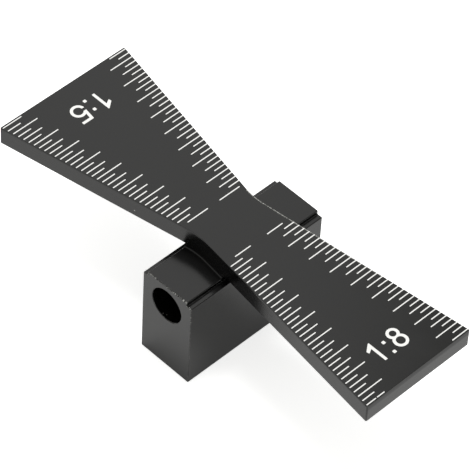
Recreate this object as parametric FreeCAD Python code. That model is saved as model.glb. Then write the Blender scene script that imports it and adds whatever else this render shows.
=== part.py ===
# A dovetail marker: a bow-tie plate on a cross block, milled from one bar of aluminium.
# The plate's edges taper 1:5 on one side of the block and 1:8 on the other, and they carry
# a scale of engraved, white-filled marks. A bore runs through the block below the plate.
# Millimetres, +Z up. Origin: centre of the block's bottom face, +X towards the 1:8 end.

import FreeCAD, Part
import math
import os

# Plate
plate_length = 125.2
plate_thickness = 5.3
plate_corner_radius = 0.4
plate_edge_break = 0.2     # round the plate's top face
neck_width = 23.1          # across the plate where the two tapers start to run out
taper_start = 13.5         # distance of that place from the plate's middle
wide_taper = 1 / 5         # rise of each edge of the wide wing per unit of length
narrow_taper = 1 / 8       # the same on the narrow wing
neck_radius = 20.0         # soft inner corner where the two tapers meet

# Block
block_length = 45.3
block_width = 16.9
block_height = 30.2        # from the bottom face to the plate's underside
stem_width = 13.7          # upper part of the block, between the two relief grooves
groove_height = 2.55       # relief groove, down from the plate's underside
block_top_drop = 1.35      # bare top of the block, down from the plate's underside
edge_break = 0.3

# Cross bore
bore_radius = 5.1
bore_drop = 8.1            # bore axis, down from the plate's underside

# Scale: sixteenths of an inch, counted outwards from a zero mark on each wing
inch = 25.4
mark_pitch = inch / 16
zero_mark_distance = 5 * mark_pitch
mark_width = 0.3
mark_depth = 0.15
long_mark_every = 4
middle_mark_every = 2
middle_mark_extra = 2.0    # how much longer than a short mark
long_mark_extra = 3.95
wide_short_mark = 3.95
narrow_short_mark = 3.75
wide_zero_mark = 6.95
narrow_zero_mark = 5.35
wide_zero_inset = 1.3      # zero marks end this far in from the edge of the top face
narrow_zero_inset = 2.5
mark_overrun = 0.3         # the other marks run this far past the edge of the top face
scale_shift = 0.45         # the whole scale lies this much towards +Y

# Ratio numerals
numeral_height = 6.4
numeral_stroke = 0.85
numeral_dot = 0.95         # side of the colon's square dots
numeral_one_offset = 3.18  # from the colon to the stem of the 1
numeral_digit_offset = 3.64
wide_numeral_gap = 7.0     # from the end of the plate to the foot of the numerals
narrow_numeral_gap = 7.2
wide_numeral_shift = 0.75
narrow_numeral_shift = -0.55

# Derived places
half_length = plate_length / 2
plate_top = block_height + plate_thickness
block_top = block_height - block_top_drop
ledge_level = block_height - groove_height
bore_level = block_height - bore_drop


def edge_line(x):
    """Half-width of the plate at x, before its corners are rounded."""
    wide = neck_width / 2 - wide_taper * (x + taper_start)
    narrow = neck_width / 2 + narrow_taper * (x - taper_start)
    return max(wide, narrow)


def prism(points, bottom, height):
    """Extrude a closed polygon of (x, y) points upwards."""
    corners = [FreeCAD.Vector(x, y, bottom) for x, y in points]
    face = Part.Face(Part.makePolygon(corners + corners[:1]))
    return face.extrude(FreeCAD.Vector(0, 0, height))


def centred_box(width, length, bottom, top):
    """A box centred on the Z axis."""
    corner = FreeCAD.Vector(-width / 2, -length / 2, bottom)
    return Part.makeBox(width, length, top - bottom, corner)


def bow_tie(bottom, height):
    """The plate's outline as a prism, with its corners and its neck rounded."""
    neck_x = -taper_start * (wide_taper - narrow_taper) / (wide_taper + narrow_taper)
    stations = [-half_length, neck_x, half_length]
    near_side = [(x, -edge_line(x)) for x in stations]
    far_side = [(x, edge_line(x)) for x in reversed(stations)]
    body = prism(near_side + far_side, bottom, height)

    def upright_edges(at_the_ends):
        return [
            edge
            for edge in body.Edges
            if edge.BoundBox.ZLength > height / 2
            and (abs(edge.BoundBox.Center.x) > half_length / 2) == at_the_ends
        ]

    body = body.makeFillet(neck_radius, upright_edges(at_the_ends=False))
    return body.makeFillet(plate_corner_radius, upright_edges(at_the_ends=True))


def dovetail_plate():
    """The plate, with the sharp edge round its top face broken."""
    plate = bow_tie(block_height, plate_thickness)
    rim = [edge for edge in plate.Edges if edge.BoundBox.ZMin > plate_top - plate_thickness / 2]
    return plate.makeChamfer(plate_edge_break, rim)


def marker_block():
    """The cross block with its two relief grooves."""
    base = centred_box(block_width, block_length, 0, ledge_level)
    base = base.makeChamfer(edge_break, base.Edges)
    stem = centred_box(stem_width, block_length, ledge_level - edge_break, block_top)
    end_edges = [
        edge
        for edge in stem.Edges
        if abs(abs(edge.BoundBox.Center.y) - block_length / 2) < 1e-6
        and edge.BoundBox.Center.z > ledge_level - edge_break
    ]
    stem = stem.makeChamfer(edge_break, end_edges)
    neck = centred_box(stem_width, block_length, block_top, block_height)
    neck = neck.common(bow_tie(block_top, block_height - block_top))
    return base.fuse([stem, neck])


def cross_bore():
    """The bore through the block along Y."""
    start = FreeCAD.Vector(0, -block_length, bore_level)
    return Part.makeCylinder(bore_radius, 2 * block_length, start, FreeCAD.Vector(0, 1, 0))


def mark_spans(number, x, short_mark, zero_mark, zero_inset):
    """Distances of a mark's two ends from the scale's middle line."""
    edge = edge_line(x) - plate_edge_break
    if number == 0:
        outer = edge - zero_inset
        return outer - zero_mark, outer
    length = short_mark
    if number % long_mark_every == 0:
        length += long_mark_extra
    elif number % middle_mark_every == 0:
        length += middle_mark_extra
    return edge - length, edge + mark_overrun


def scale_marks(direction, short_mark, zero_mark, zero_inset):
    """Both rows of marks on one wing, as boxes that reach from the engraved floor to the top."""
    room = half_length - zero_mark_distance - mark_width / 2
    marks = []
    for number in range(math.floor(room / mark_pitch) + 1):
        x = direction * (zero_mark_distance + number * mark_pitch)
        inner, outer = mark_spans(number, x, short_mark, zero_mark, zero_inset)
        for side in (-1, 1):
            low = min(side * inner, side * outer) + scale_shift
            corner = FreeCAD.Vector(x - mark_width / 2, low, plate_top - mark_depth)
            marks.append(Part.makeBox(mark_width, outer - inner, mark_depth, corner))
    return marks


def flat(points):
    """A polygon of the numerals, as thick as the marks are deep."""
    return prism(points, 0, mark_depth)


def disc(centre_s, centre_t, radius):
    """A round plate of the numerals, as thick as the marks are deep."""
    return Part.makeCylinder(radius, mark_depth, FreeCAD.Vector(centre_s, centre_t, 0))


def numeral_one(middle):
    """A stem with a flag at its top left, standing on the base line."""
    half = numeral_stroke / 2
    top = numeral_height
    outline = [
        (-half, 0),
        (half, 0),
        (half, top),
        (0.3 * half, top),
        (-0.305 * top, 0.75 * top),
        (-0.275 * top, 0.62 * top),
        (-half, 0.74 * top),
    ]
    return [flat([(middle + s, t) for s, t in outline])]


def colon_dots():
    """Two square dots, one above the other."""
    half = numeral_dot / 2
    square = [(-half, -half), (half, -half), (half, half), (-half, half)]
    levels = [half, 0.645 * numeral_height]
    return [flat([(s, t + level) for s, t in square]) for level in levels]


def numeral_five(middle):
    """A bar, a leaning stem and an open bowl."""
    top = numeral_height
    outer = 0.332 * top
    bowl_level = outer - 0.02 * top
    gap_foot = bowl_level - 0.02 * top
    gap_head = bowl_level + 0.12 * top
    bowl = disc(middle, bowl_level, outer).cut(disc(middle, bowl_level, outer - numeral_stroke))
    left = middle - 1.2 * outer
    right = middle - outer / 2
    bowl = bowl.cut(flat([(left, gap_foot), (right, gap_foot), (right, gap_head), (left, gap_head)]))
    frame = flat(
        [
            (middle - 0.22 * top, 0.985 * top),
            (middle + 0.31 * top, 0.985 * top),
            (middle + 0.31 * top, 0.985 * top - numeral_stroke),
            (middle - 0.11 * top, 0.985 * top - numeral_stroke),
            (middle - 0.15 * top, 0.6 * top),
            (middle - 0.19 * top, gap_head),
            (middle - 0.31 * top, gap_head),
        ]
    )
    return [bowl.fuse(frame).removeSplitter()]


def numeral_eight(middle):
    """Two rings that cross in a waist a little wider than the stroke, the upper one smaller."""
    lower = 0.32 * numeral_height
    upper = 0.267 * numeral_height
    low_centre = lower - 0.01 * numeral_height
    high_centre = low_centre + lower + upper - 1.3 * numeral_stroke
    rings = disc(middle, low_centre, lower).fuse(disc(middle, high_centre, upper)).removeSplitter()
    rings = rings.cut(disc(middle, low_centre, lower - numeral_stroke))
    return [rings.cut(disc(middle, high_centre, upper - numeral_stroke))]


def ratio_numerals(direction, digit, end_gap, shift):
    """One ratio, its head towards the plate's middle, as solids sunk into the plate's top."""
    glyphs = numeral_one(-numeral_one_offset) + colon_dots() + digit(numeral_digit_offset)
    place = FreeCAD.Placement(
        FreeCAD.Vector(direction * (half_length - end_gap), shift, plate_top - mark_depth),
        FreeCAD.Rotation(FreeCAD.Vector(0, 0, 1), direction * 90),
    )
    return [solid.transformed(place.toMatrix()) for glyph in glyphs for solid in glyph.Solids]


def main():
    plate = dovetail_plate()
    marks = scale_marks(-1, wide_short_mark, wide_zero_mark, wide_zero_inset)
    marks += scale_marks(1, narrow_short_mark, narrow_zero_mark, narrow_zero_inset)
    fills = [mark.common(plate) for mark in marks]
    numerals = ratio_numerals(-1, numeral_five, wide_numeral_gap, wide_numeral_shift)
    numerals += ratio_numerals(1, numeral_eight, narrow_numeral_gap, narrow_numeral_shift)

    body = plate.fuse(marker_block()).cut(cross_bore()).removeSplitter()
    body = body.cut(fills + numerals)

    nodes = {
        "marker_body": body.Solids[0],
        "scale_marks": Part.makeCompound([solid for fill in fills for solid in fill.Solids]),
        "ratio_numerals": Part.makeCompound(numerals),
    }
    os.makedirs("parts", exist_ok=True)
    for name, shape in nodes.items():
        shape.exportStep("parts/" + name + ".step")
        box = shape.BoundBox
        print(name, len(shape.Solids), "solids", round(shape.Volume, 2), "mm3", shape.isValid())
        print("  from", round(box.XMin, 2), round(box.YMin, 2), round(box.ZMin, 2))
        print("  to", round(box.XMax, 2), round(box.YMax, 2), round(box.ZMax, 2))


main()
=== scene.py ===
"""Looks of a dovetail marker: a black anodised bow-tie plate on a cross block, with white marks.

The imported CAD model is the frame. The body is built again here with the soft edges that the
real one has, and the marks and numerals are built again with their rounded ends. Sizes are in
millimetres in the classes and become metres when a mesh is made.
"""

import logging
import math
from dataclasses import dataclass, field
from enum import Enum
from typing import Sequence

import bpy
import numpy as np
from mathutils import Matrix, Vector


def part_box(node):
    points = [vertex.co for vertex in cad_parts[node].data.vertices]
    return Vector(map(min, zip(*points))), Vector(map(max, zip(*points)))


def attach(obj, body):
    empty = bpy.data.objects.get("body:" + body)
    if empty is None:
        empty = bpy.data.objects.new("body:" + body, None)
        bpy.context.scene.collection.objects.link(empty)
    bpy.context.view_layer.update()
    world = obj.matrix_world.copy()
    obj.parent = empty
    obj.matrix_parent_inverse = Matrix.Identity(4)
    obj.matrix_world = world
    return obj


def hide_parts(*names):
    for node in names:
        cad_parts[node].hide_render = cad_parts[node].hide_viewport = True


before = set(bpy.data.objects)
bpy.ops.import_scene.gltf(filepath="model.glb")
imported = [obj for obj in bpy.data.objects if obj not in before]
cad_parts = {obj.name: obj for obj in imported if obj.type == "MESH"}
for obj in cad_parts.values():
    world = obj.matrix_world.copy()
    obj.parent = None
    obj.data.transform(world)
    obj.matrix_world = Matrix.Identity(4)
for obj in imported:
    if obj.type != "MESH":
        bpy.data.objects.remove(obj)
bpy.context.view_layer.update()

LOG = logging.getLogger("dovetail_marker")
MM = 0.001
IMAGE_SIDE = 470
BODY = "root"
WEAR_AND_HIGHLIGHT = "wear_and_highlight"


class Node(Enum):
    """The CAD nodes that the pieces of this scene stand for."""

    BODY = "marker_body"
    MARKS = "scale_marks"
    NUMERALS = "ratio_numerals"


class Finish(Enum):
    """The record's material slots."""

    ANODISED = "black_anodised"
    WHITE = "white_marks"


class Axis(Enum):
    """The row axis along which a section is carried."""

    Z = "up"
    Y = "along the block"


def linear(hex_colour: str) -> tuple[float, float, float, float]:
    """Turn an sRGB hex colour into linear light.

    Args:
        hex_colour: Six hex digits, with or without a leading #.

    Returns:
        Red, green, blue and an alpha of 1.
    """
    digits = hex_colour.lstrip("#")
    srgb = np.array([int(digits[i : i + 2], 16) / 255 for i in (0, 2, 4)])
    light = np.where(srgb <= 0.04045, srgb / 12.92, ((srgb + 0.055) / 1.055) ** 2.4)
    return (float(light[0]), float(light[1]), float(light[2]), 1.0)


def box_mm(node: Node) -> tuple[np.ndarray, np.ndarray]:
    """Lowest and highest corner of a CAD node in millimetres."""
    low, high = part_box(node.value)
    return np.array(low) / MM, np.array(high) / MM


@dataclass(frozen=True)
class Outline:
    """A closed line in a plane, with the direction that points out of it at each point.

    Attributes:
        points: Places of the points, one row each, anticlockwise.
        normals: Outward directions at the points, of length 1.
    """

    points: np.ndarray
    normals: np.ndarray

    def moved(self, distance: float | np.ndarray) -> np.ndarray:
        """Points moved outwards by a distance, or inwards where it is negative."""
        return self.points + np.reshape(distance, (-1, 1)) * self.normals

    def divided(self, x: float) -> "Outline":
        """Add a point where the straight far side passes x.

        Args:
            x: Place of the new point along the plate.

        Returns:
            The outline with one point more, and with the side's own normal there.
        """
        after = np.roll(self.points, -1, axis=0)
        passes = (self.points[:, 1] > 0) & ((self.points[:, 0] - x) * (after[:, 0] - x) < 0)
        index = int(np.flatnonzero(passes)[0])
        step = after[index] - self.points[index]
        point = self.points[index] + step * (x - self.points[index, 0]) / step[0]
        points = np.insert(self.points, index + 1, point, axis=0)
        return Outline(points, np.insert(self.normals, index + 1, self.normals[index], axis=0))


def rounded_outline(
    corners: Sequence[tuple[float, float]], radii: Sequence[float], steps: Sequence[int]
) -> Outline:
    """Round the corners of a polygon.

    At a corner where the line turns by the angle t, the arc of radius r touches both sides at
    r tan(t/2) from the corner. Its centre lies at the arc's start plus r times the left normal
    of the side, or the right normal where the corner turns inwards.

    Args:
        corners: The polygon's corners, anticlockwise.
        radii: Radius at each corner.
        steps: Number of chords that make up each arc.

    Returns:
        The outline, with the arcs' points at equal angles.
    """
    corner = np.array(corners, float)
    before = np.roll(corner, 1, axis=0)
    after = np.roll(corner, -1, axis=0)
    into = (corner - before) / np.linalg.norm(corner - before, axis=1, keepdims=True)
    away = (after - corner) / np.linalg.norm(after - corner, axis=1, keepdims=True)
    cross = into[:, 0] * away[:, 1] - into[:, 1] * away[:, 0]
    turn = np.arctan2(cross, (into * away).sum(axis=1))
    points: list[np.ndarray] = []
    normals: list[np.ndarray] = []
    for index, (radius, chords) in enumerate(zip(radii, steps)):
        sign = math.copysign(1.0, turn[index])
        tangent = radius * math.tan(abs(turn[index]) / 2)
        start = corner[index] - tangent * into[index]
        right = np.array([into[index][1], -into[index][0]])
        centre = start - sign * radius * right
        angle = turn[index] * np.linspace(0, 1, chords + 1)
        cos, sin = np.cos(angle), np.sin(angle)
        normal = np.stack([right[0] * cos - right[1] * sin, right[0] * sin + right[1] * cos], axis=1)
        points.append(centre + sign * radius * normal)
        normals.append(normal)
    return Outline(np.concatenate(points), np.concatenate(normals))


def quarter_round(radius: float, steps: int) -> np.ndarray:
    """Offsets of a rounded edge: how far in from the wall and how far below the face.

    The pairs follow a quarter circle: in = r (1 - sin a) and below = r (1 - cos a), from the
    wall (a = 90 degrees) to the face (a = 0).

    Args:
        radius: Radius of the round.
        steps: Number of chords.

    Returns:
        One pair in each row, from the wall to the face.
    """
    angle = np.linspace(math.pi / 2, 0, steps + 1)
    return np.stack([radius * (1 - np.sin(angle)), radius * (1 - np.cos(angle))], axis=1)


# How far a ring is moved out of the outline, and how high it lies.
Station = tuple[float | np.ndarray, float | np.ndarray]


def carried(
    outline: Outline, stations: Sequence[Station], axis: Axis
) -> tuple[np.ndarray, list[tuple[int, ...]]]:
    """Carry an outline along an axis and close both ends.

    Ring k holds the outline moved by stations[k][0] and set at the height stations[k][1].

    Args:
        outline: The section.
        stations: Pairs of offset and height, from the low end to the high end. Each is one
            number, or one for each of the outline's points.
        axis: Axis that the heights run along.

    Returns:
        Vertices in metres and the faces, which point outwards.
    """
    count = len(outline.points)
    rings = np.stack([outline.moved(offset) for offset, _ in stations])
    heights = np.stack([np.broadcast_to(height, count) for _, height in stations])
    level = heights.ravel()
    flat = rings.reshape(-1, 2)
    if axis is Axis.Z:
        vertices = np.stack([flat[:, 0], flat[:, 1], level], axis=1)
    else:
        vertices = np.stack([flat[:, 0], -level, flat[:, 1]], axis=1)
    ring, step = np.meshgrid(np.arange(len(heights) - 1), np.arange(count), indexing="ij")
    here = ring * count + step
    beside = ring * count + (step + 1) % count
    quads = np.stack([here, beside, beside + count, here + count], axis=-1).reshape(-1, 4)
    faces = [tuple(row) for row in quads.tolist()]
    faces.append(tuple(range(count - 1, -1, -1)))
    faces.append(tuple(range((len(heights) - 1) * count, len(heights) * count)))
    return vertices * MM, faces


def mesh_object(name: str, vertices: np.ndarray, faces: Sequence[Sequence[int]]) -> bpy.types.Object:
    """Make a mesh object at the origin and link it to the scene.

    Args:
        name: Name of the mesh and of the object.
        vertices: Places in metres, one in each row.
        faces: Numbers of each face's vertices, anticlockwise from outside.

    Returns:
        The new object.
    """
    mesh = bpy.data.meshes.new(name)
    mesh.from_pydata(vertices.tolist(), [], [tuple(face) for face in faces])
    mesh.update()
    piece = bpy.data.objects.new(name, mesh)
    bpy.context.scene.collection.objects.link(piece)
    return piece


def settle(piece: bpy.types.Object) -> None:
    """Turn a piece's live modifiers into its own mesh.

    Args:
        piece: The piece, which keeps its place.
    """
    graph = bpy.context.evaluated_depsgraph_get()
    mesh = bpy.data.meshes.new_from_object(piece.evaluated_get(graph))
    piece.modifiers.clear()
    old = piece.data
    piece.data = mesh
    bpy.data.meshes.remove(old)


def combine(base: bpy.types.Object, other: bpy.types.Object, operation: str) -> None:
    """Join another closed piece to the base, or cut it away, and delete it.

    Args:
        base: The piece that stays.
        other: The piece that is joined or cut away.
        operation: UNION or DIFFERENCE.
    """
    modifier = base.modifiers.new("combine", "BOOLEAN")
    modifier.operation = operation
    modifier.object = other
    modifier.solver = "EXACT"
    settle(base)
    bpy.data.objects.remove(other)


def add_node(
    tree: bpy.types.NodeTree, kind: str, settings: dict | None = None, **inputs: object
) -> bpy.types.Node:
    """Add a shader node, set its properties, and fill or link its inputs.

    Args:
        tree: The material's node tree.
        kind: Blender's name for the node's type.
        settings: Properties of the node.
        inputs: Values by input name, with _ for a space, or by n and the input's number. A
            value that is a socket is linked.

    Returns:
        The new node.
    """
    node = tree.nodes.new(kind)
    for key, value in (settings or {}).items():
        setattr(node, key, value)
    for key, value in inputs.items():
        numbered = key[0] == "n" and key[1:].isdigit()
        socket = node.inputs[int(key[1:]) if numbered else key.replace("_", " ")]
        if isinstance(value, bpy.types.NodeSocket):
            tree.links.new(value, socket)
        else:
            socket.default_value = value
    return node


def new_material(name: str) -> tuple[bpy.types.Material, bpy.types.NodeTree]:
    """Make an empty node material.

    Args:
        name: Name of the material.

    Returns:
        The material and its node tree.
    """
    material = bpy.data.materials.new(name)
    material.use_nodes = True
    material.node_tree.nodes.clear()
    return material, material.node_tree


@dataclass(frozen=True)
class Spot:
    """A small mark of use on the surface.

    Attributes:
        place: Where it lies, in millimetres.
        radius: How far it reaches, in millimetres.
        core: Share of the radius within which it is full.
    """

    place: tuple[float, float, float]
    radius: float
    core: float = 0.6

    def mask(self, tree: bpy.types.NodeTree, place: bpy.types.NodeSocket) -> bpy.types.NodeSocket:
        """A value of 1 at the spot, falling to 0 at its rim.

        Args:
            tree: The material's node tree.
            place: Socket with the Object coordinates.

        Returns:
            Socket with the value.
        """
        centre = tuple(value * MM for value in self.place)
        away = add_node(tree, "ShaderNodeVectorMath", {"operation": "DISTANCE"}, n0=place, n1=centre)
        near = add_node(
            tree,
            "ShaderNodeMapRange",
            Value=away.outputs["Value"],
            From_Min=self.core * self.radius * MM,
            From_Max=self.radius * MM,
            To_Min=1.0,
            To_Max=0.0,
        )
        return near.outputs["Result"]


@dataclass(frozen=True)
class BlackAnodised:
    """Milled aluminium, dyed black and sealed.

    The clear oxide over the black dye reflects like a hard varnish, with no metal colour, and
    the fine matt of the etched metal under it spreads the reflection. The walls keep faint
    lines from the milling cutter, which run level round the part. Where an edge or a nick is
    rubbed, the pale metal shows in dashes. The same pale metal colour is also painted along the
    far rim of the neck as a painted highlight.
    """

    dye: str = "#060606"
    bare_metal_and_highlight: str = "#a8a8a4"
    roughness: float = 0.2
    roughness_spread: tuple[float, float] = (-0.02, 0.03)
    bare_roughness: float = 0.4
    ior: float = 1.5
    cutter_line_mm: float = 0.3
    cutter_run_mm: float = 16.0
    cutter_depth_mm: float = 0.008
    drill_ring_mm: float = 0.5
    drill_depth_mm: float = 0.02
    rub_mm: float = 0.22
    rub_limits: tuple[float, float] = (-0.04, 0.08)
    cloud_mm: float = 12.0
    cloud_limits: tuple[float, float] = (0.3, 0.7)
    nicks: tuple[Spot, ...] = (
        Spot((-21.8, -13.2, 32.0), 0.22),
        Spot((5.6, -22.55, 28.75), 0.3),
        Spot((6.5, -22.55, 28.75), 0.2),
        Spot((-0.9, -21.6, 17.1), 0.2),
        Spot((-1.7, -22.0, 17.3), 0.16),
    )

    def surface(self, tree: bpy.types.NodeTree, height: bpy.types.NodeSocket, depth_mm: float) -> None:
        """The black surface with rubbed places and a painted rim highlight, over a given relief.

        Args:
            tree: The material's node tree.
            height: The relief, from 0 to 1.
            depth_mm: How deep the relief is.
        """
        place = add_node(tree, "ShaderNodeTexCoord").outputs["Object"]
        cloud = add_node(tree, "ShaderNodeTexNoise", Vector=place, Scale=1 / (self.cloud_mm * MM), Detail=3.0)
        rough = add_node(
            tree,
            "ShaderNodeMapRange",
            Value=cloud.outputs["Fac"],
            From_Min=self.cloud_limits[0],
            From_Max=self.cloud_limits[1],
            To_Min=self.roughness + self.roughness_spread[0],
            To_Max=self.roughness + self.roughness_spread[1],
        )
        # The attribute holds the rubbed edges of the block and a painted highlight on the far rim of the
        # neck; both turn the surface to the pale metal colour.
        wear_and_highlight = add_node(tree, "ShaderNodeAttribute", {"attribute_name": WEAR_AND_HIGHLIGHT}).outputs["Fac"]
        patch = add_node(tree, "ShaderNodeTexNoise", Vector=place, Scale=1 / (self.rub_mm * MM), Detail=4.0)
        excess = add_node(tree, "ShaderNodeMath", {"operation": "SUBTRACT"}, n0=wear_and_highlight, n1=patch.outputs["Fac"])
        rubbed = add_node(
            tree,
            "ShaderNodeMapRange",
            Value=excess.outputs["Value"],
            From_Min=self.rub_limits[0],
            From_Max=self.rub_limits[1],
        )
        pale = rubbed.outputs["Result"]
        for nick in self.nicks:
            mask = nick.mask(tree, place)
            larger = add_node(tree, "ShaderNodeMath", {"operation": "MAXIMUM"}, n0=pale, n1=mask)
            pale = larger.outputs["Value"]
        colour = add_node(
            tree,
            "ShaderNodeMix",
            {"data_type": "RGBA"},
            n0=pale,
            n6=linear(self.dye),
            n7=linear(self.bare_metal_and_highlight),
        )
        finish = add_node(
            tree,
            "ShaderNodeMapRange",
            Value=pale,
            To_Min=rough.outputs["Result"],
            To_Max=self.bare_roughness,
        )
        relief = add_node(tree, "ShaderNodeBump", Height=height, Strength=1.0, Distance=depth_mm * MM)
        shader = add_node(
            tree,
            "ShaderNodeBsdfPrincipled",
            Base_Color=colour.outputs[2],
            Metallic=pale,
            Roughness=finish.outputs["Result"],
            IOR=self.ior,
            Normal=relief.outputs["Normal"],
        )
        add_node(tree, "ShaderNodeOutputMaterial", Surface=shader.outputs["BSDF"])

    def material(self) -> bpy.types.Material:
        """Build the finish of the milled outer faces, with level cutter lines on the walls.

        Returns:
            The material.
        """
        material, tree = new_material("black_anodised_milled_aluminium")
        place = add_node(tree, "ShaderNodeTexCoord").outputs["Object"]
        run, line = 1 / (self.cutter_run_mm * MM), 1 / (self.cutter_line_mm * MM)
        stretch = (run, run, line)
        level = add_node(tree, "ShaderNodeVectorMath", {"operation": "MULTIPLY"}, n0=place, n1=stretch)
        lines = add_node(tree, "ShaderNodeTexNoise", Vector=level.outputs["Vector"], Scale=1.0, Detail=2.0)
        self.surface(tree, lines.outputs["Fac"], self.cutter_depth_mm)
        return material

    def bored(self) -> bpy.types.Material:
        """Build the finish of the bore's wall, with the fine rings that a drill leaves.

        A wave texture's bands lie 2 pi / (20 x scale) apart.

        Returns:
            The material.
        """
        material, tree = new_material("black_anodised_bored_aluminium")
        place = add_node(tree, "ShaderNodeTexCoord").outputs["Object"]
        rings = add_node(
            tree,
            "ShaderNodeTexWave",
            {"wave_type": "BANDS", "bands_direction": "Y"},
            Vector=place,
            Scale=2 * math.pi / (20 * self.drill_ring_mm * MM),
            Distortion=1.5,
            Detail=2.0,
        )
        self.surface(tree, rings.outputs["Fac"], self.drill_depth_mm)
        return material


@dataclass(frozen=True)
class WhiteMark:
    """Laser-engraved marks, which show as a matt chalky white.

    The fine pits of the laser are too small to show, so the flecks are drawn coarser.
    """

    colour: str = "#fcfcfa"
    chipped: str = "#4a4a48"
    roughness: float = 0.75
    fleck_mm: float = 0.15
    fleck_depth_mm: float = 0.02
    fleck_strength: float = 0.3
    chip: Spot = Spot((61.9, -13.9, 35.5), 0.28)

    def material(self) -> bpy.types.Material:
        """Build the finish.

        Returns:
            The material.
        """
        material, tree = new_material("white_laser_mark")
        place = add_node(tree, "ShaderNodeTexCoord").outputs["Object"]
        fleck = add_node(tree, "ShaderNodeTexNoise", Vector=place, Scale=1 / (self.fleck_mm * MM), Detail=2.0)
        bump = add_node(
            tree,
            "ShaderNodeBump",
            Height=fleck.outputs["Fac"],
            Strength=self.fleck_strength,
            Distance=self.fleck_depth_mm * MM,
        )
        colour = add_node(
            tree,
            "ShaderNodeMix",
            {"data_type": "RGBA"},
            n0=self.chip.mask(tree, place),
            n6=linear(self.colour),
            n7=linear(self.chipped),
        )
        shader = add_node(
            tree,
            "ShaderNodeBsdfPrincipled",
            Base_Color=colour.outputs[2],
            Roughness=self.roughness,
            Normal=bump.outputs["Normal"],
        )
        add_node(tree, "ShaderNodeOutputMaterial", Surface=shader.outputs["BSDF"])
        return material


@dataclass
class BowTie:
    """The plate's outline: two wings with straight tapered edges that meet in a soft neck."""

    half_length: float
    wide_taper: float = 1 / 5
    narrow_taper: float = 1 / 8
    neck_half_width: float = 11.55
    taper_start: float = 13.5
    neck_radius: float = 20.0
    corner_radius: float = 0.4
    corner_steps: int = 10
    neck_steps: int = 24

    def edge_line(self, x: np.ndarray | float) -> np.ndarray:
        """Half-width at x: the larger of the two straight taper lines.

        Args:
            x: Places along the plate.

        Returns:
            The half-widths there.
        """
        wide = self.neck_half_width - self.wide_taper * (np.asarray(x) + self.taper_start)
        narrow = self.neck_half_width + self.narrow_taper * (np.asarray(x) - self.taper_start)
        return np.maximum(wide, narrow)

    def outline(self) -> Outline:
        """Work out the outline, with its corners and its neck rounded.

        The two taper lines of a side meet at x = -s (a - b) / (a + b), with the tapers a and b
        and the place s where they start.

        Returns:
            The outline, anticlockwise from the near corner of the wide end.
        """
        tapers = self.wide_taper + self.narrow_taper
        neck_x = -self.taper_start * (self.wide_taper - self.narrow_taper) / tapers
        stations = np.array([-self.half_length, neck_x, self.half_length])
        half = self.edge_line(stations)
        near = list(zip(stations, -half))
        far = list(zip(stations[::-1], half[::-1]))
        radii = [self.corner_radius, self.neck_radius, self.corner_radius] * 2
        steps = [self.corner_steps, self.neck_steps, self.corner_steps] * 2
        return rounded_outline(near + far, radii, steps)


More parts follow.
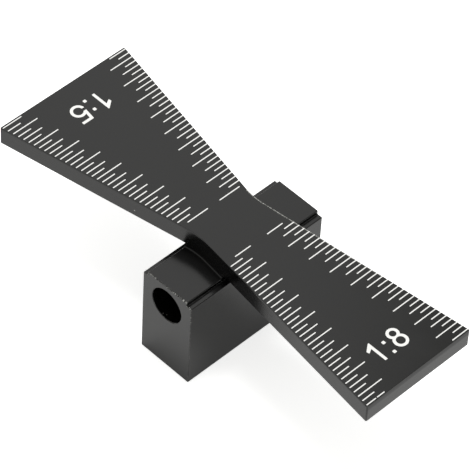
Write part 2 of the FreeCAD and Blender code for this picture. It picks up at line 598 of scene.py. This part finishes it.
@dataclass
class MarkerBody:
    """Plate and block, milled as one."""

    high: np.ndarray
    plate_thickness: float = 5.3
    block_width: float = 16.9
    stem_width: float = 13.7
    groove_height: float = 2.55
    block_top_drop: float = 1.35
    bore_radius: float = 5.1
    bore_drop: float = 8.1
    edge_break: float = 0.2
    rim_round: float = 0.06
    side_crown: tuple[float, float] = (0.04, 0.4)
    end_crown: tuple[float, float] = (0.17, 1.4)
    crown_power: float = 1.5
    crown_change: int = 4
    # Width of the strip of the top face beside the rim, which carries the painted highlight at the neck.
    highlight_strip_width: float = 0.2
    plate_foot_round: float = 0.15
    block_round: float = 0.25
    block_end_round: float = 0.225
    stem_root_round: float = 0.2
    neck_margin: float = 0.2
    neck_sunk: float = 0.6
    neck_fillet: float = 0.3
    bore_round: float = 0.12
    bore_steps: int = 96
    cutter_reach: float = 0.3
    small_face_mm2: float = 10.0
    sharp_degrees: float = 35.0
    # Painted highlight along the far rim of the neck: where it ends along the plate, and how strong it is.
    rim_highlight_end: float = 36.0
    neck_rim_highlight: float = 0.56
    worn_near_end: float = 0.45
    worn_near_corner: float = 0.38
    round_steps: int = 4
    bow: BowTie = field(init=False)

    def __post_init__(self) -> None:
        """Take the overall sizes from the frame."""
        self.bow = BowTie(half_length=float(self.high[0]))
        self.plate_top = float(self.high[2])
        self.plate_bottom = self.plate_top - self.plate_thickness
        self.block_half = float(self.high[1])
        self.block_top = self.plate_bottom - self.block_top_drop
        self.ledge = self.plate_bottom - self.groove_height
        self.bore_level = self.plate_bottom - self.bore_drop

    def plate(self) -> bpy.types.Object:
        """The bow-tie plate, with its foot rounded and its upper edge filed off and rounded.

        The filed edge is a curve that leans in by c (1 - d/h)^1.5 at the depth d below the
        round, down to the depth h. On the narrow end c and h are larger than on the sides, and
        they change over with the fourth power of the part of the normal along the plate. A
        strip of the top face beside the round stays apart, as the place where a painted highlight goes along
        the far rim of the neck.

        Returns:
            The plate.
        """
        # The outline gets a point where the painted rim highlight ends.
        outline = self.bow.outline().divided(self.rim_highlight_end)
        along = np.maximum(outline.normals[:, 0], 0) ** self.crown_change
        lean, tall = (side + (end - side) * along for side, end in zip(self.side_crown, self.end_crown))
        foot = quarter_round(self.plate_foot_round, self.round_steps)
        stations: list[Station] = [(-inward, self.plate_bottom + below) for inward, below in foot[::-1]]
        filed_from = self.plate_top - self.rim_round
        for share in np.linspace(1, 0, 2 * self.round_steps):
            stations.append((-lean * (1 - share) ** self.crown_power, filed_from - tall * share))
        for inward, below in quarter_round(self.rim_round, self.round_steps)[1:]:
            stations.append((-lean - inward, self.plate_top - below))
        stations.append((-lean - self.rim_round - self.highlight_strip_width, self.plate_top))
        return mesh_object("plate", *carried(outline, stations, Axis.Z))

    def block(self) -> bpy.types.Object:
        """Build the cross block: a section with a ledge on each side, and rounded ends.

        Returns:
            The block.
        """
        wide, slim = self.block_width / 2, self.stem_width / 2
        corners = [
            (-wide, 0.0),
            (wide, 0.0),
            (wide, self.ledge),
            (slim, self.ledge),
            (slim, self.block_top),
            (-slim, self.block_top),
            (-slim, self.ledge),
            (-wide, self.ledge),
        ]
        soft, root = self.block_round, self.stem_root_round
        radii = [soft, soft, soft, root, soft, soft, root, soft]
        section = rounded_outline(corners, radii, [self.round_steps] * len(corners))
        rim = quarter_round(self.block_end_round, self.round_steps)
        low = [(-inward, -self.block_half + below) for inward, below in rim[::-1]]
        high = [(-inward, self.block_half - below) for inward, below in rim]
        return mesh_object("block", *carried(section, low + high, Axis.Y))

    def neck(self) -> bpy.types.Object:
        """Build the stem between block and plate.

        It follows the plate's outline and flares across the block at its foot.

        Returns:
            The stem.
        """
        slim = self.stem_width / 2
        whole = self.bow.outline()
        inside = np.abs(whole.points[:, 0]) < slim - self.neck_margin
        order = np.arange(len(whole.points))
        near = order[inside & (whole.points[:, 1] < 0)]
        far = order[inside & (whole.points[:, 1] > 0)]
        ends = np.array([-slim, slim])
        half = self.bow.edge_line(ends)
        near_left, near_right = (-slim, -half[0]), (slim, -half[1])
        far_right, far_left = (slim, half[1]), (-slim, half[0])
        points = np.concatenate(
            [
                [near_left],
                whole.points[near],
                [near_right, far_right],
                whole.points[far],
                [far_left],
            ]
        )
        wide_side = np.array([-self.bow.wide_taper, -1.0])
        narrow_side = np.array([self.bow.narrow_taper, -1.0])
        near_left_out = wide_side / np.linalg.norm(wide_side)
        near_right_out = narrow_side / np.linalg.norm(narrow_side)
        flip = np.array([1.0, -1.0])
        normals = np.concatenate(
            [
                [near_left_out],
                whole.normals[near],
                [near_right_out, near_right_out * flip],
                whole.normals[far],
                [near_left_out * flip],
            ]
        )
        normals[:, 0] = 0
        outline = Outline(points, normals)
        fillet = self.neck_fillet
        foot = quarter_round(fillet, self.round_steps)
        stations = [(fillet, self.block_top - self.neck_sunk), (fillet, self.block_top)]
        for inward, below in foot[::-1][1:]:
            stations.append((fillet - below, self.block_top + fillet - inward))
        stations.append((0.0, self.plate_bottom + 2 * self.plate_foot_round))
        return mesh_object("neck", *carried(outline, stations, Axis.Z))

    def bore(self) -> bpy.types.Object:
        """Build the cutter that leaves the cross bore, flared where it leaves the block.

        Returns:
            The cutter.
        """
        angle = np.linspace(0, 2 * math.pi, self.bore_steps, endpoint=False)
        normals = np.stack([np.cos(angle), np.sin(angle)], axis=1)
        points = self.bore_radius * normals + np.array([0.0, self.bore_level])
        mouth = quarter_round(self.bore_round, self.round_steps)
        outer = self.bore_round + self.cutter_reach
        low = [(outer, -self.block_half - self.cutter_reach)]
        for inward, below in mouth[::-1]:
            low.append((self.bore_round - below, -self.block_half + self.bore_round - inward))
        high = [(offset, -height) for offset, height in low[::-1]]
        return mesh_object("bore", *carried(Outline(points, normals), low + high, Axis.Y))

    def note_faces(self, body: bpy.types.Object) -> None:
        """Write each face's wear and painted highlight, and give the bore's wall the second material.

        A face of a rounded edge of the block has at least two large parts in its normal. The
        plate's rim is the small faces at its top.

        Args:
            body: The finished body.
        """
        mesh = body.data
        count = len(mesh.polygons)
        normal = np.empty(count * 3)
        centre = np.empty(count * 3)
        mesh.polygons.foreach_get("normal", normal)
        mesh.polygons.foreach_get("center", centre)
        normal = normal.reshape(-1, 3)
        x, y, z = (centre.reshape(-1, 3) / MM).T
        upright = np.abs(normal[:, 2])
        area = np.empty(count)
        mesh.polygons.foreach_get("area", area)
        in_plate = z > self.plate_bottom - 0.01
        rim = (z > self.plate_top - 1.2 * self.rim_round) & (area < self.small_face_mm2 * MM**2)
        from_axis = np.hypot(x, z - self.bore_level)
        bore = (np.abs(from_axis - self.bore_radius) < self.bore_round + 0.1) & (np.abs(normal[:, 1]) < 0.95)
        bore &= np.abs(y) < self.block_half
        slanted = np.sort(np.abs(normal), axis=1)[:, 1] > 0.15
        edge = ~in_plate & slanted & ~bore & (z < self.block_top + 0.01)
        near_end = edge & (y < self.block_round - self.block_half) & (z > self.block_round)
        wear_and_highlight = np.zeros(count)
        # Painted highlight: the far rim of the neck gets the pale metal colour in place of its reflection.
        neck = (x > -self.stem_width) & (x < self.rim_highlight_end) & (y > 0)
        wear_and_highlight[rim & neck & (upright > 0.5)] = self.neck_rim_highlight
        wear_and_highlight[near_end & (normal[:, 0] > 0.1)] = self.worn_near_corner
        wear_and_highlight[near_end & (normal[:, 2] > 0.1)] = self.worn_near_end
        mesh.attributes.new(WEAR_AND_HIGHLIGHT, "FLOAT", "FACE").data.foreach_set("value", wear_and_highlight)
        mesh.polygons.foreach_set("material_index", bore.astype(np.int32))

    def build(self) -> bpy.types.Object:
        """Join the shapes, cut the bore and keep the large faces flat.

        Returns:
            The body.
        """
        body = self.plate()
        body.name = "marker_body_soft_edged"
        combine(body, self.block(), "UNION")
        combine(body, self.neck(), "UNION")
        combine(body, self.bore(), "DIFFERENCE")
        body.data.shade_smooth()
        body.data.set_sharp_from_angle(angle=math.radians(self.sharp_degrees))
        weighted = body.modifiers.new("flat_faces", "WEIGHTED_NORMAL")
        weighted.keep_sharp = True
        weighted.weight = 100
        settle(body)
        self.note_faces(body)
        return body


@dataclass
class Scale:
    """The white marks along the four tapered edges, sixteenths of an inch apart."""

    body: MarkerBody
    pitch: float = 25.4 / 16
    width: float = 0.3
    lift: float = 0.012
    depth: float = 0.1
    shift: float = 0.45
    overrun: float = 0.3
    middle_extra: float = 2.0
    long_extra: float = 3.95
    short: tuple[float, float] = (3.95, 3.75)
    zero: tuple[float, float] = (6.95, 5.35)
    zero_inset: tuple[float, float] = (1.3, 2.5)
    zero_number: int = 5
    middle_every: int = 2
    long_every: int = 4
    columns: int = 5
    tip_rows: int = 5
    tip_start_degrees: float = 20.0
    rim_turn_degrees: float = 30.0

    def spans(self, number: int, x: float, wing: int) -> tuple[float, float]:
        """Work out where a mark ends.

        Args:
            number: The mark's number, from the zero mark outwards.
            x: Its place along the plate.
            wing: 0 for the wide wing, 1 for the narrow one.

        Returns:
            Distances of its inner and outer end from the scale's middle line.
        """
        edge = float(self.body.bow.edge_line(x)) - self.body.edge_break
        if number == 0:
            outer = edge - self.zero_inset[wing]
            return outer - self.zero[wing], outer
        length = self.short[wing]
        if number % self.long_every == 0:
            length += self.long_extra
        elif number % self.middle_every == 0:
            length += self.middle_extra
        return edge - length, edge + self.overrun

    def strip(self, x: float, side: int, inner: float, outer: float) -> np.ndarray:
        """Lay out a mark's upper surface as a grid of points.

        A rounded tip has rows at r (1 - cos a) from its end, with the half-width r sin a. Where
        the mark runs off the plate, its last rows follow the rounded rim: r sin a further out
        and r (1 - cos a) lower.

        Args:
            x: The mark's place along the plate.
            side: -1 for the near edge of the plate, 1 for the far one.
            inner: Distance of its inner end from the scale's middle line.
            outer: Distance of its outer end.

        Returns:
            The grid, with rows from the inner tip to the outer end.
        """
        radius = self.width / 2
        top = self.body.plate_top + self.lift
        angle = np.linspace(math.radians(self.tip_start_degrees), math.pi / 2, self.tip_rows)
        across = np.linspace(-1, 1, self.columns)
        start = side * inner + self.shift
        end = side * outer + self.shift
        tip_y = radius * (1 - np.cos(angle))
        tip_half = radius * np.sin(angle)
        rim = self.body.rim_round
        edge = self.body.bow.edge_line(x + radius * across) - self.body.side_crown[0]
        runs_off = side * end > edge.min() - rim
        rows_x = [x + tip_half[:, None] * across]
        rows_y = [np.repeat((start + side * tip_y)[:, None], self.columns, axis=1)]
        rows_z = [np.full((self.tip_rows, self.columns), top)]
        if runs_off:
            turn = np.linspace(0, math.radians(self.rim_turn_degrees), self.tip_rows)[:, None]
            rows_x.append(np.repeat((x + radius * across)[None, :], self.tip_rows, axis=0))
            rows_y.append(side * (edge[None, :] - rim + (rim + self.lift) * np.sin(turn)))
            rows_z.append(np.repeat(top - (rim + self.lift) * (1 - np.cos(turn)), self.columns, axis=1))
        else:
            rows_x.append(x + tip_half[::-1, None] * across)
            rows_y.append(np.repeat((end - side * tip_y[::-1])[:, None], self.columns, axis=1))
            rows_z.append(np.full((self.tip_rows, self.columns), top))
        grid = np.stack([np.concatenate(part) for part in (rows_x, rows_y, rows_z)], axis=-1)
        return grid if side > 0 else grid[:, ::-1]

    def shell(self, grid: np.ndarray, start: int) -> tuple[np.ndarray, np.ndarray]:
        """Close a grid of points with a floor below it and walls round it.

        Args:
            grid: The upper surface.
            start: Number of the shell's first vertex.

        Returns:
            The shell's vertices and its faces.
        """
        rows, columns = grid.shape[:2]
        count = rows * columns
        floor = grid - np.array([0.0, 0.0, self.lift + self.depth])
        index = np.arange(count).reshape(rows, columns)
        corners = [index[:-1, :-1], index[:-1, 1:], index[1:, 1:], index[1:, :-1]]
        top = np.stack(corners, axis=-1).reshape(-1, 4)
        under = top[:, ::-1] + count
        rim = np.concatenate([index[0, :-1], index[:-1, -1], index[-1, :0:-1], index[:0:-1, 0]])
        follow = np.roll(rim, -1)
        wall = np.stack([follow, rim, rim + count, follow + count], axis=1)
        vertices = np.concatenate([grid.reshape(-1, 3), floor.reshape(-1, 3)])
        return vertices, np.concatenate([top, under, wall]) + start

    def build(self) -> bpy.types.Object:
        """Build all marks as one object of separate closed shells.

        Returns:
            The marks.
        """
        room = self.body.bow.half_length - self.zero_number * self.pitch - self.width / 2
        vertices: list[np.ndarray] = []
        faces: list[np.ndarray] = []
        start = 0
        for wing, direction in enumerate((-1, 1)):
            for number in range(int(room / self.pitch) + 1):
                x = direction * self.pitch * (self.zero_number + number)
                inner, outer = self.spans(number, x, wing)
                for side in (-1, 1):
                    points, quads = self.shell(self.strip(x, side, inner, outer), start)
                    vertices.append(points)
                    faces.append(quads)
                    start += len(points)
        return mesh_object("white_scale_marks", np.concatenate(vertices) * MM, np.concatenate(faces).tolist())


@dataclass
class Numerals:
    """The two ratios, drawn with one even stroke."""

    body: MarkerBody
    height: float = 6.4
    stroke: float = 0.8
    dot: float = 0.9
    one_offset: float = 3.18
    digit_offset: float = 3.64
    end_gaps: tuple[float, float] = (7.0, 7.2)
    shifts: tuple[float, float] = (0.75, -0.55)
    soft: float = 0.12
    soft_root: float = 0.05
    soft_dot: float = 0.18
    ring_widths: tuple[float, float] = (0.32, 0.278)
    ring_heights: tuple[float, float] = (0.306, 0.262)
    ring_overlap: float = 1.15
    ring_stroke: tuple[float, float] = (1.05, 0.95)
    arc_steps: int = 72
    small_arc_steps: int = 60
    hole_steps: int = 64
    lift: float = 0.012
    depth: float = 0.1

    def one(self, middle: float) -> list[np.ndarray]:
        """Draw the 1: a stem with a flag.

        Args:
            middle: Place of the stem along the line of writing.

        Returns:
            Its closed line.
        """
        half, top = self.stroke / 2, self.height
        corners = [
            (middle - half, 0.0),
            (middle + half, 0.0),
            (middle + half, top),
            (middle + 0.3 * half, top),
            (middle - 0.305 * top, 0.75 * top),
            (middle - 0.275 * top, 0.62 * top),
            (middle - half, 0.74 * top),
        ]
        radii = [self.soft] * 6 + [self.soft_root]
        return [rounded_outline(corners, radii, [3] * 7).points]

    def colon(self) -> list[np.ndarray]:
        """Draw the colon: two square dots.

        Returns:
            Their closed lines.
        """
        half = self.dot / 2
        square = [(-half, -half), (half, -half), (half, half), (-half, half)]
        dot = rounded_outline(square, [self.soft_dot] * 4, [4] * 4).points
        return [dot + np.array([0.0, half]), dot + np.array([0.0, 0.645 * self.height])]

    def five(self, middle: float) -> list[np.ndarray]:
        """Draw the 5: a bar, a leaning stem and an open bowl, in one line round the figure.

        The bowl's outer arc runs clockwise from the stem to the open end, and its inner arc
        runs back to the foot of the stem.

        Args:
            middle: Place of the bowl's centre along the line of writing.

        Returns:
            Its closed line.
        """
        top = self.height
        bar = 0.985 * top
        outer = 0.332 * top
        inner = outer - self.stroke
        level = outer - 0.02 * top
        gap_low, gap_high = -0.02 * top, 0.12 * top
        stem = np.array(
            [
                (-0.31 * top, level + gap_high),
                (-0.22 * top, bar),
                (0.31 * top, bar),
                (0.31 * top, bar - self.stroke),
                (-0.11 * top, bar - self.stroke),
            ]
        )
        root = math.atan2(0.6 * top - level, -0.15 * top)
        outward = np.linspace(root, -math.pi - math.asin(gap_low / outer), self.arc_steps)
        open_end = -math.pi - math.asin(gap_low / inner)
        stem_foot = -math.pi - math.asin(gap_high / inner) + 2 * math.pi
        inward = np.linspace(open_end, stem_foot, self.arc_steps)
        bowl_out = np.stack([outer * np.cos(outward), level + outer * np.sin(outward)], axis=1)
        bowl_in = np.stack([inner * np.cos(inward), level + inner * np.sin(inward)], axis=1)
        return [np.concatenate([stem, bowl_out, bowl_in]) + np.array([middle, 0.0])]

    def eight(self, middle: float) -> list[np.ndarray]:
        """Draw the 8: two flattened rings that cross in the waist.

        The ellipses (s/a)^2 + ((t - c)/b)^2 = 1 cross where both give the same s. That is a
        quadratic in t, and its root in the waist is the crossing's height.

        Args:
            middle: Place of the rings' centres along the line of writing.

        Returns:
            The line round both rings, and the lines of the two holes.
        """
        wide = np.array(self.ring_widths) * self.height
        tall = np.array(self.ring_heights) * self.height
        low = tall[0] - 0.01 * self.height
        high = low + tall.sum() - self.ring_overlap * self.stroke
        ratio = (wide / tall) ** 2
        square = ratio[1] - ratio[0]
        linear_term = 2 * (ratio[0] * low - ratio[1] * high)
        constant = wide[0] ** 2 - wide[1] ** 2 - ratio[0] * low**2 + ratio[1] * high**2
        roots = np.roots([square, linear_term, constant]).real
        waist = roots[np.argmin(np.abs(roots - (low + high) / 2))]
        turn_low = math.asin((waist - low) / tall[0])
        turn_high = math.asin((high - waist) / tall[1])
        big = np.linspace(math.pi - turn_low, 2 * math.pi + turn_low, self.arc_steps)
        small = np.linspace(-turn_high, math.pi + turn_high, self.small_arc_steps)[1:-1]
        centres = np.array([[middle, low], [middle, high]])
        rim = np.concatenate(
            [
                centres[0] + np.stack([wide[0] * np.cos(big), tall[0] * np.sin(big)], axis=1),
                centres[1] + np.stack([wide[1] * np.cos(small), tall[1] * np.sin(small)], axis=1),
            ]
        )
        turn = np.linspace(0, 2 * math.pi, self.hole_steps, endpoint=False)
        ring = np.stack([np.cos(turn), np.sin(turn)], axis=1)
        stroke = self.stroke * np.array(self.ring_stroke)
        holes = [centres[k] + ring * (np.array([wide[k], tall[k]]) - stroke) for k in (0, 1)]
        return [rim] + holes

    def build(self) -> bpy.types.Object:
        """Fill the figures' lines as flat curves, give them depth and make them one mesh.

        Returns:
            The numerals.
        """
        curve = bpy.data.curves.new("numerals", "CURVE")
        curve.dimensions = "2D"
        curve.fill_mode = "BOTH"
        curve.extrude = (self.depth + self.lift) / 2 * MM
        for wing, (direction, figure) in enumerate(((-1, self.five), (1, self.eight))):
            lines = self.one(-self.one_offset) + self.colon() + figure(self.digit_offset)
            for line in lines:
                x = direction * (self.body.bow.half_length - self.end_gaps[wing] - line[:, 1])
                y = self.shifts[wing] + direction * line[:, 0]
                spline = curve.splines.new("POLY")
                spline.points.add(len(line) - 1)
                place = np.stack([x * MM, y * MM, np.zeros(len(line)), np.ones(len(line))], axis=1)
                spline.points.foreach_set("co", place.ravel())
                spline.use_cyclic_u = True
        source = bpy.data.objects.new("numerals", curve)
        bpy.context.scene.collection.objects.link(source)
        graph = bpy.context.evaluated_depsgraph_get()
        mesh = bpy.data.meshes.new_from_object(source.evaluated_get(graph))
        level = (self.body.plate_top + self.lift - (self.depth + self.lift) / 2) * MM
        mesh.transform(Matrix.Translation((0, 0, level)))
        bpy.data.objects.remove(source)
        piece = bpy.data.objects.new("white_ratio_numerals", mesh)
        bpy.context.scene.collection.objects.link(piece)
        return piece


@dataclass
class Studio:
    """Floor, light and the camera of the photograph."""

    camera_mm: tuple[float, float, float] = (382.607, -407.677, 655.558)
    right: tuple[float, float, float] = (0.69771, 0.71526, 0.03977)
    down: tuple[float, float, float] = (0.55225, -0.50167, -0.66583)
    ahead: tuple[float, float, float] = (-0.45629, 0.48652, -0.74504)
    focal_px: float = 3406.0
    sensor_mm: float = 36.0
    clip: tuple[float, float] = (0.05, 20.0)
    table_colour: str = "#f6f6f6"
    room_colour: str = "#fffffa"
    floor_side: float = 3.0
    floor_gap: float = 0.00002
    camera_glow: float = 0.7
    gloss_glow: float = 0.2
    room: float = 0.45
    back_watts: float = 0.52
    back_side: float = 0.5
    back_distance: float = 0.6
    back_aim: tuple[float, float, float] = (-0.035, 0.0, 0.035)
    back_slide: float = 0.2
    key_watts: float = 4.3
    key_side: float = 0.35
    key_place: tuple[float, float, float] = (-0.1, 0.12, 0.9)

    def camera(self) -> None:
        """Set up the photograph's camera."""
        data = bpy.data.cameras.new("camera")
        data.sensor_width = self.sensor_mm
        data.lens = self.focal_px / IMAGE_SIDE * self.sensor_mm
        data.clip_start, data.clip_end = self.clip
        camera = bpy.data.objects.new("camera", data)
        up = tuple(-value for value in self.down)
        back = tuple(-value for value in self.ahead)
        turn = Matrix((self.right, up, back)).transposed()
        camera.matrix_world = Matrix.Translation(Vector(self.camera_mm) * MM) @ turn.to_4x4()
        bpy.context.scene.collection.objects.link(camera)
        bpy.context.scene.camera = camera

    def floor(self) -> None:
        """A white table top that stays white to the camera, with a soft shadow."""
        half = self.floor_side / 2
        level = -self.floor_gap
        corners = np.array(
            [(-half, -half, level), (half, -half, level), (half, half, level), (-half, half, level)]
        )
        table = mesh_object("floor", corners, [(0, 1, 2, 3)])
        material, tree = new_material("white_table")
        path = add_node(tree, "ShaderNodeLightPath")
        to_camera = add_node(
            tree,
            "ShaderNodeMath",
            {"operation": "MULTIPLY"},
            n0=path.outputs["Is Camera Ray"],
            n1=self.camera_glow,
        )
        to_gloss = add_node(
            tree,
            "ShaderNodeMath",
            {"operation": "MULTIPLY_ADD"},
            n0=path.outputs["Is Glossy Ray"],
            n1=self.gloss_glow,
            n2=to_camera.outputs["Value"],
        )
        matt = add_node(tree, "ShaderNodeBsdfDiffuse", Color=linear(self.table_colour))
        glow = add_node(tree, "ShaderNodeEmission", Color=(1, 1, 1, 1), Strength=to_gloss.outputs["Value"])
        both = add_node(tree, "ShaderNodeAddShader", n0=matt.outputs["BSDF"], n1=glow.outputs["Emission"])
        add_node(tree, "ShaderNodeOutputMaterial", Surface=both.outputs["Shader"])
        table.data.materials.append(material)

    def light(self) -> None:
        """An even room, a soft box mirrored by the wide wing, and a key soft box at the front left."""
        world = bpy.data.worlds.new("room")
        world.use_nodes = True
        tree = world.node_tree
        tree.nodes.clear()
        room = add_node(tree, "ShaderNodeBackground", Color=linear(self.room_colour), Strength=self.room)
        add_node(tree, "ShaderNodeOutputWorld", Surface=room.outputs["Background"])
        bpy.context.scene.world = world
        view = Vector(self.ahead).normalized()
        mirrored = Vector((view.x, view.y, -view.z))
        back = Vector(self.back_aim) + mirrored * self.back_distance - Vector((self.back_slide, 0, 0))
        self.soft_box("back_soft_box", back, mirrored, self.back_side, self.back_watts)
        key = Vector(self.key_place)
        self.soft_box("key_soft_box", key, key.normalized(), self.key_side, self.key_watts)

    def soft_box(self, name: str, place: Vector, behind: Vector, side: float, watts: float) -> None:
        """A square soft box.

        Args:
            name: Name of the lamp.
            place: Its centre, in metres.
            behind: Direction from the object to the lamp, which shines back along it.
            side: Length of its side, in metres.
            watts: Its power.
        """
        data = bpy.data.lights.new(name, "AREA")
        data.shape = "SQUARE"
        data.size = side
        data.energy = watts
        lamp = bpy.data.objects.new(name, data)
        lamp.location = place
        lamp.rotation_mode = "QUATERNION"
        lamp.rotation_quaternion = behind.to_track_quat("Z", "Y")
        bpy.context.scene.collection.objects.link(lamp)

    def build(self) -> None:
        """Camera, floor and light."""
        self.camera()
        self.floor()
        self.light()


def dress(piece: bpy.types.Object, node: Node, finish: Finish, *materials: bpy.types.Material) -> None:
    """Give a piece its materials and let it stand for its CAD node.

    Args:
        piece: The finished piece.
        node: The CAD node that it stands for.
        finish: The record's material slot; not used.
        materials: Its materials, in the order of the mesh's material numbers.
    """
    index = np.empty(len(piece.data.polygons), np.int32)
    piece.data.polygons.foreach_get("material_index", index)
    piece.data.materials.clear()
    for material in materials:
        piece.data.materials.append(material)
    piece.data.polygons.foreach_set("material_index", np.minimum(index, len(materials) - 1))
    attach(piece, BODY)
    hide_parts(node.value)
    LOG.info("%s: %d faces, stands for %s", piece.name, len(piece.data.polygons), node.value)


def main() -> None:
    """Build the marker, then the studio round it."""
    logging.basicConfig(level=logging.INFO, format="%(message)s")
    body = MarkerBody(high=box_mm(Node.BODY)[1])
    white = WhiteMark().material()
    black = BlackAnodised()
    dress(body.build(), Node.BODY, Finish.ANODISED, black.material(), black.bored())
    dress(Scale(body).build(), Node.MARKS, Finish.WHITE, white)
    dress(Numerals(body).build(), Node.NUMERALS, Finish.WHITE, white)
    Studio().build()
    bpy.context.scene.view_settings.view_transform = "Standard"


if __name__ == "__main__":
    main()
